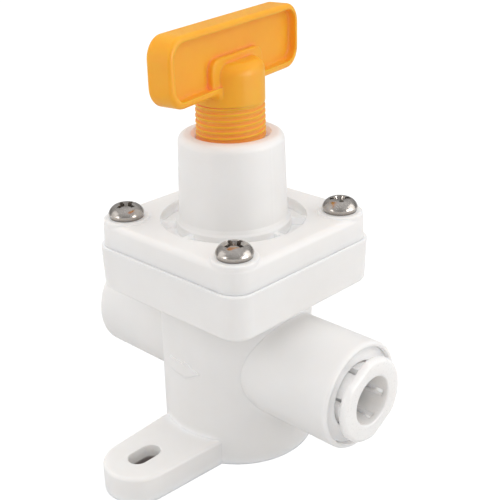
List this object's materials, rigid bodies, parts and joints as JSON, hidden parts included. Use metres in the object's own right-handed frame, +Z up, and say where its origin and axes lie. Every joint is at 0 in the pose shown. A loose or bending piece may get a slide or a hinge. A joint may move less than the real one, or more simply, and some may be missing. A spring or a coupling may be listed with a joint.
{
  "type": "diaphragm valve",
  "caption": "Spring-loaded diaphragm pressure-regulating valve with in-line push-fit tube ports, a square flanged bonnet, foot tabs and a T-bar adjusting screw.",
  "frame": {"origin": "barrel axis in the plane of the base", "axes": "+Z up along the adjusting screw, +X the way the water flows from inlet to outlet, the two foot tabs toward -Y and +Y"},
  "size_m": [0.0704, 0.0704, 0.0866],
  "materials": {
    "white_plastic": "satin moulded, slightly translucent",
    "orange_plastic": "satin moulded",
    "stainless": "bright tumbled",
    "acetal": "satin",
    "spring_steel": "drawn wire",
    "black_rubber": "matt moulded",
    "button_plastic": "matt",
    "brass_nut": "turned"
  },
  "bodies": {
    "housing": {"valve_body": "white_plastic", "bonnet": "white_plastic", "bonnet_screws": "stainless", "diaphragm": "black_rubber", "seat_insert": "acetal", "seat_oring": "black_rubber", "poppet_spring": "spring_steel", "inlet_cartridge": "white_plastic", "inlet_spacer": "acetal", "inlet_oring": "black_rubber", "outlet_cartridge": "white_plastic", "outlet_spacer": "acetal", "outlet_oring": "black_rubber"},
    "button": {"spring_button": "button_plastic"},
    "handle": {"t_handle": "orange_plastic"},
    "diaphragm_stack": {"diaphragm_plate": "acetal", "diaphragm_pusher": "acetal", "diaphragm_nut": "brass_nut", "range_spring": "spring_steel"},
    "poppet": {"poppet": "acetal", "poppet_seal": "black_rubber"},
    "inlet_collet": {"inlet_collet": "acetal", "inlet_collet_teeth": "spring_steel"},
    "outlet_collet": {"outlet_collet": "acetal", "outlet_collet_teeth": "spring_steel"}
  },
  "joints": [
    {"name": "adjuster_travel", "type": "slide", "parent": "housing", "child": "button", "axis": [0, 0, 1], "range_m": [-0.0066, 0], "deforming": ["range_spring"]},
    {"name": "handle_turn", "type": "hinge", "parent": "button", "child": "handle", "pos_m": [0, 0, 0.0715], "axis": [0, 0, 1], "range_deg": [-2160, 0]},
    {"name": "diaphragm_lift", "type": "slide", "parent": "housing", "child": "diaphragm_stack", "axis": [0, 0, 1], "range_m": [-0.0015, 0], "deforming": ["diaphragm"]},
    {"name": "poppet_lift", "type": "slide", "parent": "housing", "child": "poppet", "axis": [0, 0, 1], "range_m": [-0.0015, 0], "deforming": ["poppet_spring"]},
    {"name": "inlet_collet_push", "type": "slide", "parent": "housing", "child": "inlet_collet", "axis": [1, 0, 0], "range_m": [0, 0.0014]},
    {"name": "outlet_collet_push", "type": "slide", "parent": "housing", "child": "outlet_collet", "axis": [-1, 0, 0], "range_m": [0, 0.0014]}
  ],
  "couplings": [
    {"joint": "adjuster_travel", "follows": "handle_turn", "m_per_rad": 0.00017507},
    {"joint": "poppet_lift", "follows": "diaphragm_lift", "ratio": 1}
  ]
}
